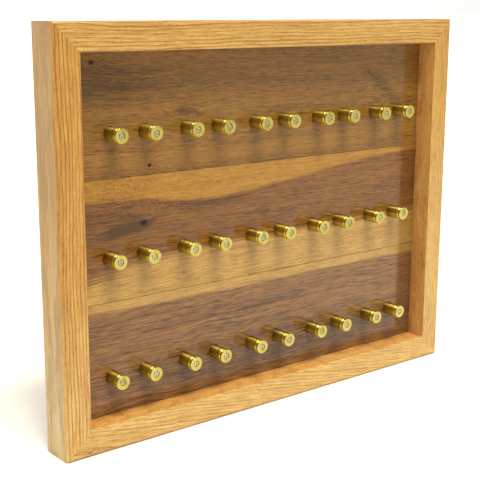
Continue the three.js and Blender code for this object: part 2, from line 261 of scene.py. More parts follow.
class Shader:
    """A material whose nodes are written as expressions. Numbers and sockets can be mixed as inputs."""

    def __init__(self, name):
        self.material = bpy.data.materials.new(name)
        self.material.use_nodes = True
        self.tree = self.material.node_tree
        self.tree.nodes.clear()
        self.surface = self.node("BsdfPrincipled")
        output = self.node("OutputMaterial")
        self.tree.links.new(self.surface.outputs[0], output.inputs["Surface"])

    def node(self, kind, settings=None, **inputs):
        made = self.tree.nodes.new("ShaderNode" + kind)
        for key, value in (settings or {}).items():
            setattr(made, key, value)
        for key, value in inputs.items():
            self.feed(made, key.replace("_", " "), value)
        return made

    def feed(self, node, key, value):
        socket = node.inputs[key]
        if isinstance(value, bpy.types.NodeSocket):
            self.tree.links.new(value, socket)
        elif isinstance(value, tuple) and socket.type == "RGBA":
            socket.default_value = (*value, 1)
        elif value is not None:
            socket.default_value = value

    def math(self, operation, a, b=None, c=None):
        made = self.node("Math", {"operation": operation})
        for index, value in enumerate((a, b, c)):
            self.feed(made, index, value)
        return made.outputs[0]

    def add(self, a, b):
        return self.math("ADD", a, b)

    def less(self, a, b):
        return self.math("SUBTRACT", a, b)

    def times(self, a, b):
        return self.math("MULTIPLY", a, b)

    def ramp(self, value, low, high, to_low=0.0, to_high=1.0):
        """A smooth step from to_low at low to to_high at high."""
        made = self.node("MapRange", {"interpolation_type": "SMOOTHSTEP"}, Value=value)
        made.inputs["From Min"].default_value = low
        made.inputs["From Max"].default_value = high
        made.inputs["To Min"].default_value = to_low
        made.inputs["To Max"].default_value = to_high
        return made.outputs["Result"]

    def millimetres(self, origin=(0, 0, 0), turn=0.0):
        """The piece's own coordinates, in millimetres from origin, in axes turned about y."""
        where = self.node("TexCoord").outputs["Object"]
        made = self.node("Mapping", {"vector_type": "TEXTURE"}, Vector=where)
        made.inputs["Location"].default_value = origin
        made.inputs["Rotation"].default_value = (0, turn, 0)
        made.inputs["Scale"].default_value = (MM, MM, MM)
        return made.outputs["Vector"]

    def split(self, vector):
        made = self.node("SeparateXYZ", Vector=vector)
        return made.outputs[0], made.outputs[1], made.outputs[2]

    def join(self, x, y, z):
        return self.node("CombineXYZ", X=x, Y=y, Z=z).outputs[0]

    def noise(self, vector, sizes, seed=0.0, detail=2.0):
        """Noise from 0 to 1 about 0.5, whose blobs measure about sizes in millimetres."""
        made = self.node("VectorMath", {"operation": "MULTIPLY_ADD"})
        self.feed(made, 0, vector)
        made.inputs[1].default_value = [1 / size for size in sizes]
        made.inputs[2].default_value = (seed, 1.7 * seed, 2.9 * seed)
        blobs = self.node("TexNoise", Vector=made.outputs[0], Scale=1.0, Detail=detail)
        return blobs.outputs["Fac"]

    def sway(self, vector, sizes, reach, seed=0.0):
        """Noise about 0, in millimetres, that moves a pattern by up to about reach."""
        return self.times(self.less(self.noise(vector, sizes, seed), 0.5), 2 * reach)

    def oval(self, x, z, place_x, place_z, wide, high, slope=0.0):
        """Distance from a point, as a share of an oval's half width and half height."""
        across = self.less(x, place_x)
        up = self.less(self.less(z, place_z), self.times(across, slope))
        across = self.math("DIVIDE", across, wide)
        up = self.math("DIVIDE", up, high)
        squares = self.add(self.times(across, across), self.times(up, up))
        return self.math("SQRT", squares)

    def curve(self, x, points):
        """A smooth curve through (x, z) points in millimetres, inside a width and height that hold them."""
        wide, high = CURVE_WIDTH / MM, (TOP - BOTTOM) / MM
        made = self.node("FloatCurve", Value=self.math("DIVIDE", x, wide))
        line = made.mapping.curves[0]
        for point, (at, level) in zip(line.points, (points[0], points[-1])):
            point.location = (at / wide, level / high)
        for at, level in points[1:-1]:
            line.points.new(at / wide, level / high)
        made.mapping.update()
        return self.times(made.outputs[0], high)

    def colours(self, value, *stops):
        made = self.node("ValToRGB", Fac=value)
        ramp = made.color_ramp
        while len(ramp.elements) < len(stops):
            ramp.elements.new(0.5)
        for element, (position, colour) in zip(ramp.elements, stops):
            element.position = position
            element.color = (*colour, 1)
        return made.outputs["Color"]

    def mix(self, share, a, b, blend="MIX"):
        made = self.node("Mix", {"data_type": "RGBA", "blend_type": blend})
        self.feed(made, 0, share)
        self.feed(made, 6, a)
        self.feed(made, 7, b)
        return made.outputs[2]

    def bump(self, height, depth):
        return self.node("Bump", Height=height, Distance=depth, Strength=1.0).outputs["Normal"]

    def finish(self, **inputs):
        for key, value in inputs.items():
            self.feed(self.surface, key.replace("_", " "), value)
        return self.material


# Oak colours, and the tints that some faces are multiplied by
OAK_PALE = (0.63, 0.435, 0.14)
OAK_MIDDLE = (0.53, 0.32, 0.08)
OAK_DARK = (0.35, 0.165, 0.03)
OAK_PORE = (0.17, 0.07, 0.015)
# OAK_SIDE_SHEEN is the greyer outer side, a painted sheen of glancing light
OAK_SIDE_SHEEN = ((0.60, 0.46, 0.215), (0.50, 0.365, 0.155), (0.38, 0.25, 0.09))
# OAK_ORANGE darkens the front towards the frame's top: partly the oak's own colour, partly painted shade
OAK_ORANGE = (0.86, 0.715, 0.41)
INNER_BROWN = (1.17, 0.97, 0.97)
INNER_ORANGE = (1.08, 0.88, 0.77)

# Sizes of the oak's marks in millimetres: across the face, into it and along the grain
OAK_WAVES = (30, 30, 110)
OAK_WOBBLE = (6, 6, 30)
OAK_FIBRES = (0.6, 0.6, 14)
OAK_DASHES = (0.4, 0.4, 3.6)
OAK_PORES = (0.22, 0.22, 2.0)
OAK_BROAD = (9, 7, 70)
OAK_SHADE_PATCHES = (9, 9, 16)
OAK_DRIFT = (8, 8, 60)
RING_WIDTH = 2.5
OAK_RELIEF = 0.05 * MM

# Where the outer side, the rounded edge, the inner face and the painted shade on it near the board begin and
# end, in u or v
OUTER_U = (0.1, 1.0)
OUTER_V = (1.8, 3.2)
ROUNDED_U = (2.5, 4.5)
INNER_U = (17.6, 18.2)
INNER_V = (0.5, 1.2)
INNER_SHADE_V = (7, 16)

# How much each mark darkens the oak, and the tone of oak without marks
RING_TONE = 0.6
FIBRE_TONE = 1.95
INNER_SHADE_TONE = 0.4
BROAD_TONE = -0.7
OAK_TONE = 0.31


def oak(name, origin, turn, heart, lean, rings, warmth, inner_tint, seed):
    """Oak with growth rings round a heart at (u, v), whose grain leans from the rail's length.

    u runs inwards from the rail's outer face, v to the back and s along the rail, in millimetres. rings is
    how strong the rings are, warmth is where along s the wood turns orange and by how much, partly its own
    colour and partly painted shade that darkens the frame towards its top, and inner_tint is what the inner
    face's colour is multiplied by.
    """
    wood = Shader(name)
    where = wood.millimetres(origin, turn)
    u, v, s = wood.split(where)
    grain_u = wood.add(u, wood.times(s, lean))
    grain = wood.join(grain_u, v, s)
    outer = wood.times(wood.ramp(u, *OUTER_U, 1.0, 0.0), wood.ramp(v, *OUTER_V))
    inner = wood.times(wood.ramp(u, *INNER_U), wood.ramp(v, *INNER_V))

    # Growth rings, each darkest where it begins
    waves = wood.add(wood.sway(grain, OAK_WAVES, 3.5, seed), wood.sway(grain, OAK_WOBBLE, 0.7, seed + 3))
    across, deep = wood.less(grain_u, heart[0]), wood.less(v, heart[1])
    radius = wood.math("SQRT", wood.add(wood.times(across, across), wood.times(deep, deep)))
    growth = wood.math("DIVIDE", wood.add(radius, waves), RING_WIDTH)
    phase = wood.math("FRACT", growth)
    number = wood.math("FLOOR", growth)
    strength = wood.node("TexWhiteNoise", {"noise_dimensions": "1D"}, W=number).outputs["Value"]
    early = wood.times(wood.ramp(phase, 0.0, 0.1), wood.ramp(phase, 0.12, 0.5, 1.0, 0.0))
    early = wood.times(early, wood.ramp(strength, 0.0, 1.0, 0.3, 1.0))
    outside = wood.less(1.0, wood.times(inner, 0.7))
    ringed = wood.times(early, wood.times(outside, RING_TONE * rings))

    # Fibres, dashes and pores along the grain, and painted shade in patches on the inner face near the board
    fibre = wood.noise(grain, OAK_FIBRES, seed + 5, 3)
    dashes = wood.ramp(wood.noise(grain, OAK_DASHES, seed + 7, 2), 0.53, 0.68)
    pores = wood.ramp(wood.noise(grain, OAK_PORES, seed + 9, 1), 0.55, 0.68)
    broad = wood.noise(grain, OAK_BROAD, seed + 11)
    # Painted shade in patches on the inner face, darker towards the board
    inner_shade = wood.ramp(wood.noise(where, OAK_SHADE_PATCHES, seed + 15), 0.35, 0.6)
    inner_shade = wood.times(wood.ramp(v, *INNER_SHADE_V), inner_shade)
    tone = wood.add(ringed, wood.times(wood.less(fibre, 0.5), FIBRE_TONE))
    tone = wood.add(tone, wood.times(wood.times(inner, inner_shade), INNER_SHADE_TONE))
    tone = wood.add(tone, wood.times(wood.less(broad, 0.5), BROAD_TONE))
    tone = wood.add(tone, OAK_TONE)
    colour = wood.colours(tone, (0.05, OAK_PALE), (0.4, OAK_MIDDLE), (1.0, OAK_DARK))
    speck = wood.add(wood.times(dashes, 0.8), wood.times(pores, 0.3))
    speck = wood.times(speck, wood.ramp(early, 0.0, 0.5, 0.4, 1.0))
    colour = wood.mix(speck, colour, OAK_PORE)

    # The greyer outer side, a painted sheen of glancing light over the grain, which gets darker along s as
    # painted shade
    side_tone = wood.add(wood.times(wood.less(tone, 0.35), 0.8), wood.times(broad, 1.8))
    side_tone = wood.add(side_tone, wood.ramp(s, 20, 220, -0.42, -0.20))
    side = wood.colours(side_tone, *zip((0.3, 0.55, 0.85), OAK_SIDE_SHEEN))
    colour = wood.mix(wood.times(outer, 0.75), colour, side)

    # The orange of the front, partly the oak's own colour and partly painted shade that darkens the frame
    # towards its top, strongest on the rounded edge, and the tint of the inner face
    along = wood.add(s, wood.sway(grain, OAK_DRIFT, 30, seed + 13))
    orange_and_shade = wood.times(wood.ramp(along, *warmth), wood.less(1.0, inner))
    colour = wood.mix(orange_and_shade, colour, OAK_ORANGE, "MULTIPLY")
    rounded = wood.times(wood.ramp(u, *ROUNDED_U, 0.5, 0.0), wood.less(1.0, outer))
    colour = wood.mix(wood.times(orange_and_shade, rounded), colour, OAK_ORANGE, "MULTIPLY")
    colour = wood.mix(inner, colour, inner_tint, "MULTIPLY")

    height = wood.less(wood.times(fibre, 0.3), wood.add(wood.times(pores, 0.5), wood.times(dashes, 0.6)))
    rough = wood.add(wood.times(speck, 0.25), wood.ramp(broad, 0.3, 0.7, 0.38, 0.48))
    return wood.finish(
        Base_Color=colour, Roughness=rough, Normal=wood.bump(height, OAK_RELIEF),
        Coat_Weight=0.25, Coat_Roughness=0.3,
    )


# For each rail: heart, lean, rings, warmth, inner tint and seed
OAKS = {
    "left": ((-70, 12), 0.0, 1.7, (20, 130, 0.0, 1.0), INNER_BROWN, 1.3),
    "top": ((-60, 10), 0.004, 1.5, (-60, 200, 0.5, 0.42), INNER_BROWN, 21.7),
    "right": ((-80, 20), 0.02, 0.5, (0, 250, 0.75, 0.15), INNER_BROWN, 42.1),
    "bottom": ((-50, 8), -0.16, 0.8, (0, 300, 0.0, 0.05), INNER_ORANGE, 63.4),
}

# Walnut colours, dark to light, for the heartwood of each board and for the sapwood
TOP_HEART = ((0.085, 0.038, 0.005), (0.205, 0.095, 0.014), (0.31, 0.150, 0.026))
MIDDLE_HEART = ((0.065, 0.025, 0.004), (0.180, 0.069, 0.011), (0.28, 0.117, 0.021))
BOTTOM_HEART = ((0.060, 0.029, 0.010), (0.195, 0.088, 0.025), (0.32, 0.160, 0.053))
UPPER_SAP = ((0.24, 0.095, 0.008), (0.35, 0.167, 0.017), (0.46, 0.243, 0.035))
LOWER_SAP = ((0.27, 0.130, 0.023), (0.41, 0.243, 0.055), (0.54, 0.34, 0.096))
KNOT = (0.018, 0.010, 0.005)

# Where the sapwood begins, as (x, z) in millimetres from the frame's lower left outer corner, and the width
# that the lines are drawn in, a little more than the frame's
CURVE_WIDTH = (TOP - BOTTOM) * 1.3
MIDDLE_UPPER_EDGE = (
    (10, 165), (69, 164.4), (102, 159.5), (171, 160.5), (222, 167), (272, 172), (347, 176),
)
MIDDLE_LOWER_EDGE = ((10, 108), (51, 116.5), (95, 121), (140, 123), (234, 125), (347, 125))
BOTTOM_EDGE = ((10, 91), (90, 90), (180, 89.5), (260, 90.5), (347, 90))

# Sizes of the walnut's marks in millimetres: along the grain, into the face and across the grain
WALNUT_WAVES = (45, 30, 14)
WALNUT_BENDS = (90, 40, 40)
WALNUT_BROAD = (160, 30, 9)
WALNUT_STREAKS = (70, 6, 1.7)
WALNUT_FINE = (35, 3, 0.7)
WALNUT_FIBRES = (9, 1.2, 0.45)
WALNUT_PORES = (3.5, 0.4, 0.28)
WALNUT_RIPPLES = (5, 2, 1.5)
WALNUT_RELIEF = 0.03 * MM
RIPPLE_LEANS = (1.0, -0.8)

# Varnish: its orange peel, where it gets glossier along x, and how much duller it is before that
PEEL = (4, 4, 4)
PEEL_RELIEF = 0.01 * MM
GLOSSY_X = (10, 180)
DULLER = 0.2

# Where the painted shade at a board's right end, beside the right rail, begins along x, and how deep into
# the board it goes
RIGHT_END_SHADE_X = (315, 327)
RIGHT_END_SHADE_Y = (1.0, 3.0)


def walnut(name, heart, seed, varnish, edges=(), patches=(), knots=(), ripples=(), corner=0.0):
    """Walnut with its grain along x, under a varnish of the given strength.

    edges are sapwood lines (points, softness, side, colours), patches are dark streaks in the figure and
    some painted shade beside the rails (x, z, wide, high, slope, depth), knots are (x, z, wide, high, swirl,
    depth), where the grain bends round them, and ripples are places (x, z, wide, high, depth) where short
    dashes cross the grain. corner is how strong the painted shade at the right end is, beside the right
    rail. Places and sizes are in millimetres.
    """
    wood = Shader("walnut_" + name)
    where = wood.millimetres((LEFT, BOARD_FRONT, BOTTOM))
    x, y, z = wood.split(where)

    # The grain's height, bent by slow waves and round the knots
    near_z = wood.add(z, wood.sway(where, WALNUT_WAVES, 1.3, seed))
    grain_z = wood.add(near_z, wood.sway(where, WALNUT_BENDS, 6, seed + 2))
    for at_x, at_z, wide, high, swirl, depth in knots:
        far = wood.oval(x, z, at_x, at_z, wide * swirl, high * swirl)
        bend = wood.ramp(far, 0.1, 1.0, 0.75, 0.0)
        rings = wood.times(far, high * swirl * 1.1)
        grain_z = wood.add(grain_z, wood.times(bend, wood.less(wood.add(rings, at_z), grain_z)))
    grain = wood.join(x, y, grain_z)

    # Tone, from dark at 0.2 to light at 0.85
    broad = wood.noise(grain, WALNUT_BROAD, seed + 4)
    streak = wood.noise(grain, WALNUT_STREAKS, seed + 6, 3)
    fine = wood.noise(grain, WALNUT_FINE, seed + 12)
    fibre = wood.noise(grain, WALNUT_FIBRES, seed + 8, 3)
    tone = wood.add(wood.times(broad, 0.35), wood.times(streak, 0.27))
    tone = wood.add(tone, wood.add(wood.times(fine, 0.6), wood.times(fibre, 1.3)))
    tone = wood.less(tone, 0.78)
    for at_x, at_z, wide, high, slope, depth in patches:
        far = wood.oval(x, near_z, at_x, at_z, wide, high, slope)
        tone = wood.less(tone, wood.ramp(far, 0.0, 1.0, depth, 0.0))
    for at_x, at_z, wide, high, depth in ripples:
        zone = wood.ramp(wood.oval(x, z, at_x, at_z, wide, high), 0.4, 1.0, depth, 0.0)
        for lean in RIPPLE_LEANS:
            slant = wood.join(wood.add(x, wood.times(z, lean)), y, wood.less(z, wood.times(x, lean)))
            dashes = wood.ramp(wood.noise(slant, WALNUT_RIPPLES, seed + 14, 1), 0.52, 0.66)
            tone = wood.less(tone, wood.times(dashes, zone))
    dark, middle, light = heart
    colour = wood.colours(tone, (0.2, dark), (0.48, middle), (0.85, light))

    # Sapwood, the painted shade at the right end, the pores and the knots' cores
    sap_tone = wood.add(wood.times(tone, 0.85), 0.1)
    for points, softness, side, (sap_dark, sap_middle, sap_light) in edges:
        above = wood.times(wood.less(near_z, wood.curve(x, points)), side)
        above = wood.add(above, wood.times(wood.less(streak, 0.5), softness * 3))
        sap = wood.colours(sap_tone, (0.2, sap_dark), (0.5, sap_middle), (0.85, sap_light))
        colour = wood.mix(wood.ramp(above, -softness, softness), colour, sap)
    # Painted shade at the right end, beside the right rail, fading within a few millimetres of the front
    shade = wood.times(wood.ramp(x, *RIGHT_END_SHADE_X, 0.0, corner), wood.ramp(y, *RIGHT_END_SHADE_Y, 1.0, 0.0))
    colour = wood.mix(shade, colour, dark)
    pores = wood.ramp(wood.noise(grain, WALNUT_PORES, seed + 10, 1), 0.56, 0.70)
    colour = wood.mix(wood.times(pores, 0.45), colour, dark)
    gloss = wood.ramp(x, *GLOSSY_X, varnish - DULLER, varnish)
    for at_x, at_z, wide, high, swirl, depth in knots:
        core = wood.ramp(wood.oval(x, z, at_x, at_z, wide, high), 0.35, 1.15, depth, 0.0)
        colour = wood.mix(core, colour, KNOT)
        gloss = wood.times(gloss, wood.less(1.0, core))

    peel = wood.noise(where, PEEL, seed)
    return wood.finish(
        Base_Color=colour, Roughness=wood.ramp(fibre, 0.3, 0.7, 0.45, 0.6), Specular_IOR_Level=0.2,
        Normal=wood.bump(wood.less(fibre, pores), WALNUT_RELIEF), Coat_Weight=gloss, Coat_Roughness=0.11,
        Coat_Normal=wood.bump(peel, PEEL_RELIEF),
    )


WALNUT = {
    "top": walnut(
        "top", TOP_HEART, seed=3.1, varnish=0.65,
        patches=(
            # The second patch, at the top left, is partly the figure's darker end and partly painted shadow
            # of the top rail
            (300, 226, 42, 10, -0.75, 0.20), (35, 238, 60, 34, 0.0, 0.20), (104, 221, 26, 6, 0.25, 0.16),
            (85, 236, 50, 3, -0.42, 0.10), (180, 190, 900, 10, 0.0, -0.12),
        ),
        knots=(
            (35, 253.8, 2.8, 1.8, 4, 0.95), (77.4, 185.5, 2.2, 1.7, 3.4, 0.95),
            (110, 219, 8, 3.2, 3.2, 0.35), (281.4, 239.3, 3.4, 2.0, 4, 0.45),
        ),
    ),
    "middle": walnut(
        "middle", MIDDLE_HEART, seed=7.7, varnish=0.75, corner=0.45,
        edges=((MIDDLE_UPPER_EDGE, 1.8, 1.0, UPPER_SAP), (MIDDLE_LOWER_EDGE, 5.5, -1.0, LOWER_SAP)),
        patches=(
            (132, 156, 60, 4.5, 0.0, 0.26), (60, 144.5, 30, 5.5, 0.09, 0.62), (40, 150, 60, 24, 0.0, 0.14),
            # The last patch, at the right end, is painted shade beside the right rail
            (352, 145, 26, 40, 0.0, 0.10),
        ),
        knots=((72, 147.4, 3.8, 2.5, 2.6, 0.95),),
        ripples=((52, 173, 42, 9, 0.34), (70, 158, 70, 8, 0.16)),
    ),
    "bottom": walnut(
        "bottom", BOTTOM_HEART, seed=12.9, varnish=0.8, corner=0.45,
        edges=((BOTTOM_EDGE, 1.5, 1.0, LOWER_SAP),),
        patches=(
            (110, 82, 110, 1.3, 0.0, 0.2), (180, 71.7, 160, 1.5, 0.005, 0.22),
            # The last patch, at the right end, is painted shade beside the right rail
            (190, 67.6, 120, 1.2, 0.0, 0.2), (200, 36, 240, 22, 0.0, 0.24), (352, 60, 26, 50, 0.0, 0.10),
        ),
        knots=((143.4, 83.5, 3.0, 1.6, 3, 0.25),),
    ),
}

# Metal: sizes of its lathe marks and grain in millimetres, and how many patches of tarnish to a metre
LATHE_MARKS = (0.12, 0.12, 1)
METAL_GRAIN = (0.25, 0.25, 0.25)
TARNISH_SCALE = 140.0
METAL_RELIEF = 0.01 * MM

# A case behind its polished head: where it turns browner, where painted shade darkens it towards the board,
# and by how much
HEAD_END_Y = (1.3, 3.0)
CASE_SHADE_Y = (6.0, 14.0)
BODY_BROWN = (1.0, 0.87, 0.5)
CASE_SHADE = (0.55, 0.5, 0.45)


def metal(name, colour, dull, roughness, turned=0.0, grit=0.02, spun=0.0, worn=0.0):
    """Metal with a patchy film of tarnish.

    turned is the depth of the lathe marks round the y axis, and spun is how far they spread highlights. grit
    is the depth of its grain. worn is how much rougher a case is behind its head; when it is set, the case
    also turns browner there and gets painted shade towards the board.
    """
    shader = Shader(name)
    where = shader.millimetres()
    world = shader.node("NewGeometry").outputs["Position"]
    film = shader.node("TexNoise", Vector=world, Scale=TARNISH_SCALE, Detail=3.0).outputs["Fac"]
    x, y, z = shader.split(where)
    radius = shader.math("SQRT", shader.add(shader.times(x, x), shader.times(z, z)))
    marks = shader.noise(shader.join(radius, y, 0.0), LATHE_MARKS, 2.0)
    grain = shader.noise(where, METAL_GRAIN, 5.0)
    height = shader.add(shader.times(marks, turned), shader.times(grain, grit))
    rough = shader.add(shader.ramp(film, 0.35, 0.7, roughness, roughness + 0.1), shader.times(marks, 0.04))
    tint = shader.mix(shader.ramp(film, 0.4, 0.75), colour, dull)
    if worn:
        behind = shader.ramp(y, *HEAD_END_Y)
        rough = shader.add(rough, shader.times(behind, worn))
        tint = shader.mix(behind, tint, BODY_BROWN, "MULTIPLY")
        # Painted shade on the case towards the board
        tint = shader.mix(shader.ramp(y, *CASE_SHADE_Y), tint, CASE_SHADE, "MULTIPLY")
    if spun:
        around = shader.node("Tangent", {"direction_type": "RADIAL", "axis": "Y"}).outputs[0]
        shader.finish(Tangent=around, Anisotropic=spun, Anisotropic_Rotation=0.25)
    return shader.finish(
        Base_Color=tint, Metallic=1.0, Roughness=rough, Normal=shader.bump(height, METAL_RELIEF),
    )


RUBBER_GRAIN = (0.35, 0.35, 0.35)
RUBBER_DUST = (3, 3, 3)
RUBBER_BLACK = (0.018, 0.018, 0.019)
RUBBER_GREY = (0.05, 0.047, 0.043)
RUBBER_RELIEF = 0.02 * MM


def rubber(name):
    shader = Shader(name)
    where = shader.millimetres()
    grain = shader.noise(where, RUBBER_GRAIN, 1.0)
    dust = shader.noise(where, RUBBER_DUST, 4.0, 4)
    return shader.finish(
        Base_Color=shader.mix(shader.ramp(dust, 0.45, 0.75), RUBBER_BLACK, RUBBER_GREY),
        Roughness=shader.ramp(dust, 0.3, 0.7, 0.62, 0.8), Normal=shader.bump(grain, RUBBER_RELIEF),
    )


BRASS = metal(
    "polished_brass", (0.56, 0.49, 0.14), (0.46, 0.375, 0.085), 0.16,
    turned=1.0, grit=0.0, spun=0.95, worn=0.09,
)
NICKEL = metal("dull_nickel", (0.44, 0.42, 0.30), (0.34, 0.31, 0.20), 0.22, turned=0.6)
ZINC = metal("bright_zinc", (0.62, 0.64, 0.67), (0.50, 0.51, 0.52), 0.3)
RUBBER = rubber("black_rubber")


# ---------------------------------------------------------------- frame

RAILS = {
    "left": (0, (LEFT, BOTTOM), TOP - BOTTOM),
    "top": (1, (LEFT, TOP), RIGHT - LEFT),
    "right": (2, (RIGHT, TOP), TOP - BOTTOM),
    "bottom": (3, (RIGHT, BOTTOM), RIGHT - LEFT),
}


def rail_profile(inset):
    """A rail's section, drawn in by inset all round: x inwards from the outer face, y to the back."""
    face, depth, board = RAIL_FACE, BACK - FRONT, BOARD_FRONT - FRONT
    land = face - REBATE
    soft = RAIL_EASE
    points = arc((RAIL_ROUND, RAIL_ROUND), RAIL_ROUND - inset, 180, 270, ROUND_STEPS)
    points += arc((face - soft, soft), soft - inset, 270, 360, EASE_STEPS)
    points += [(face - inset, board - inset), (land - inset, board - inset)]
    points += [(land - inset, depth - inset)]
    points += arc((soft, depth - soft), soft - inset, 90, 180, EASE_STEPS)
    return points


# Turns a piece built in x and y, and drawn out along z, so that these run along y, z and x
Z_TO_X = Matrix(((0, 0, 1, 0), (1, 0, 0, 0), (0, 1, 0, 0), (0, 0, 0, 1)))


def nail_slot(node):
    """A cutter a little wider than a V-nail, open to the back."""
    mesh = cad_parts[node].data.copy()
    slot = bpy.data.objects.new("slot", mesh)
    bpy.context.scene.collection.objects.link(slot)
    middle = middle_of(node)
    for vertex in mesh.vertices:
        for axis in (0, 2):
            vertex.co[axis] += (vertex.co[axis] - middle[axis]) * NAIL_EASE
        if vertex.co.y > middle.y:
            vertex.co.y = BACK + MM
    return slot


def rail(side):
    """A rail with mitred ends, built upright as the left rail and then turned into its place."""
    turn, corner, length = RAILS[side]
    sections = [(rail_profile(MITRE_EASE), GLUE_LINE), (rail_profile(0), GLUE_LINE + MITRE_EASE)]
    vertices = []
    for outline, back_off in sections:
        vertices += [(x, y, x + back_off) for x, y in outline]
    for outline, back_off in reversed(sections):
        vertices += [(x, y, length - x - back_off) for x, y in outline]
    count = len(sections[0][0])
    faces = [list(range(count)), list(range(3 * count, 4 * count))]
    for ring in range(3):
        for i in range(count):
            j = (i + 1) % count
            low, high = ring * count, (ring + 1) * count
            faces.append([low + i, low + j, high + j, high + i])
    angle = turn * math.pi / 2
    origin = (corner[0], FRONT, corner[1])
    material = oak("oak_" + side, origin, angle, *OAKS[side])
    piece = add_piece("oak_rail_" + side, vertices, faces, material)
    place(piece, Matrix.Translation(origin) @ Matrix.Rotation(angle, 4, "Y"))
    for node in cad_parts:
        if node.startswith("v_nail") and side in node.split("_"):
            boolean(piece, nail_slot(node))
    return finish_piece(smooth(piece), "frame", "oak", "rail_" + side)


def board(name):
    """A walnut board with blind holes for its pegs and fine eased edges along the seams."""
    low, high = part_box("board_" + name)
    low.z += SEAM_GAP / 2
    high.z -= SEAM_GAP / 2
    front, back = low.y, high.y
    eased = front + BOARD_EASE
    outline = [
        (eased, low.z), (front, low.z + BOARD_EASE), (front, high.z - BOARD_EASE), (eased, high.z),
        (back, high.z), (back, low.z),
    ]
    piece = place(prism("walnut_" + name, outline, low.x, high.x, WALNUT[name]), Z_TO_X)
    face_outwards(piece.data)
    mouth, end = front - MM, front + HOLE_DEPTH
    for x, z in PEG_PLACES[name]:
        hole = [(0, mouth), (HOLE_RADIUS, mouth), (HOLE_RADIUS, end), (0, end)]
        cutter = lathe("cutter", hole, PEG_SIDES, WALNUT[name])
        place(cutter, Matrix.Translation((x, 0, z)))
        boolean(piece, cutter)
    return finish_piece(smooth(piece), "frame", "walnut", "board_" + name)


# ---------------------------------------------------------------- pegs

ROW_BOARDS = {1: "top", 2: "middle", 3: "bottom"}
COLUMNS = range(1, 11)
PEG_PLACES = {
    name: [middle_of(f"peg_r{row}_c{column}").xz for column in COLUMNS]
    for row, name in ROW_BOARDS.items()
}

# Profiles as (radius, distance behind the head) in millimetres
PRIMER_POCKET = 2.3
CASE_PROFILE = [
    (0, 0.7), (PRIMER_POCKET, 0.7), (PRIMER_POCKET, 0.14), (2.36, 0.03), (2.46, 0),
    *arc((4.73, 0.25), 0.25, 270, 360, 4), *arc((4.84, 1.13), 0.14, 0, 90, 3),
    (4.48, 1.27), *arc((4.48, 1.37), 0.1, 270, 180, 2)[1:], *arc((4.5, 2.1), 0.12, 180, 135, 2),
    (4.86, 2.86), (4.93, 3.0), (4.96, 3.3), (4.95, 6), (4.83, 19.0), (4.75, 19.15), (4.5, 19.15),
    (4.42, 19.0), (4.35, 5.6), (3.7, 4.4), (2.4, 4.2), (0, 4.2),
]
PRIMER_PROFILE = [
    (0, 0.06), (0.2, 0.06), (0.4, 0.06), (0.6, 0.06), (0.8, 0.06), (1.0, 0.06), (1.2, 0.06), (1.45, 0.065),
    (1.65, 0.09), (1.82, 0.16), (1.94, 0.28), (2.0, 0.45), (2.0, 0.68), (0, 0.68),
]


def in_metres(profile):
    return [(radius * MM, y * MM) for radius, y in profile]


def peg(row, column, chance):
    """A case with a primer that a firing pin has struck a little off its middle."""
    name = f"r{row}_c{column}"
    middle = middle_of("peg_" + name)
    turned = Matrix.Translation((middle.x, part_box("peg_" + name)[0].y, middle.z))
    turned = turned @ Matrix.Rotation(chance.uniform(0, 2 * math.pi), 4, "Y")
    case = lathe("case_" + name, in_metres(CASE_PROFILE), PEG_SIDES, BRASS)
    case.matrix_world = turned
    finish_piece(smooth(case, TURNED_ANGLE), "frame", "brass", "peg_" + name)
    primer = lathe("primer_" + name, in_metres(PRIMER_PROFILE), PRIMER_SIDES, NICKEL)
    off_x = chance.uniform(-STRIKE_OFFSET, STRIKE_OFFSET)
    off_z = chance.uniform(-STRIKE_OFFSET, STRIKE_OFFSET)
    strike = Vector((off_x, 0, off_z))
    for vertex in primer.data.vertices:
        if vertex.co.y < PRIMER_FACE:
            away = (Vector((vertex.co.x, 0, vertex.co.z)) - strike).length / STRIKE_RADIUS
            vertex.co.y += STRIKE_DEPTH * math.exp(-away * away)
    primer.matrix_world = turned
    finish_piece(smooth(primer, DOMED_ANGLE), "frame", "nickel")


# ---------------------------------------------------------------- hardware

# Turns a piece built with x and y across and z outwards so that z points to the back
TO_BACK = Matrix(((1, 0, 0, 0), (0, 0, 1, 0), (0, -1, 0, 0), (0, 0, 0, 1)))

# Swaps y and z
Y_TO_Z = Matrix(((1, 0, 0, 0), (0, 0, 1, 0), (0, 1, 0, 0), (0, 0, 0, 1)))

# Profile as (radius, distance above the plate) in millimetres
SCREW_PROFILE = [
    (0, -14), (0.5, -13.0), (1.5, -11.0), (1.5, -0.4), (1.9, 0), *arc((2.95, 0.25), 0.25, 270, 360, 3),
    (3.2, 0.55), (3.12, 0.85), (2.9, 1.2), (2.5, 1.55), (1.9, 1.83), (1.1, 1.97), (0, 2.0),
]


def cross_recess(head_top):
    """A tapered cross that sinks into a screw head."""
    half, arm = RECESS_HALF, RECESS_ARM
    outline = [
        (half, arm), (half, half), (arm, half), (arm, -half), (half, -half), (half, -arm),
        (-half, -arm), (-half, -half), (-arm, -half), (-arm, half), (-half, half), (-half, arm),
    ]
    cutter = prism("cutter", outline, -RECESS_DEPTH, RECESS_RISE, ZINC)
    for vertex in cutter.data.vertices:
        if vertex.co.z < 0:
            vertex.co.x *= RECESS_TAPER
            vertex.co.y *= RECESS_TAPER
    return place(cutter, Matrix.Translation((0, head_top, 0)) @ TO_BACK)


